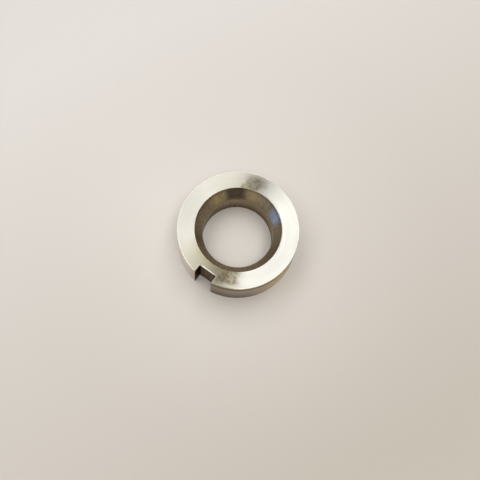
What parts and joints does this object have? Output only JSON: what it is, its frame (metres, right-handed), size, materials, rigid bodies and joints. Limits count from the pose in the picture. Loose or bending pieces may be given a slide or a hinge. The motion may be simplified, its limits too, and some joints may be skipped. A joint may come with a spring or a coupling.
{
  "type": "shaft collar",
  "caption": "Solid turned steel shaft collar with a straight bore, a tapered bore mouth and a rectangular drive notch cut into its rim.",
  "frame": {"origin": "on the bore's axis, in the plane of the plain face", "axes": "+Z along the bore's axis towards the face with the tapered mouth, -Y out through the rim's notch"},
  "size_m": [0.038, 0.0379, 0.0127],
  "materials": {
    "turned_steel": "fine turned, bare, lightly oiled and stained"
  },
  "bodies": {
    "root": {"collar_ring": "turned_steel"}
  },
  "joints": []
}
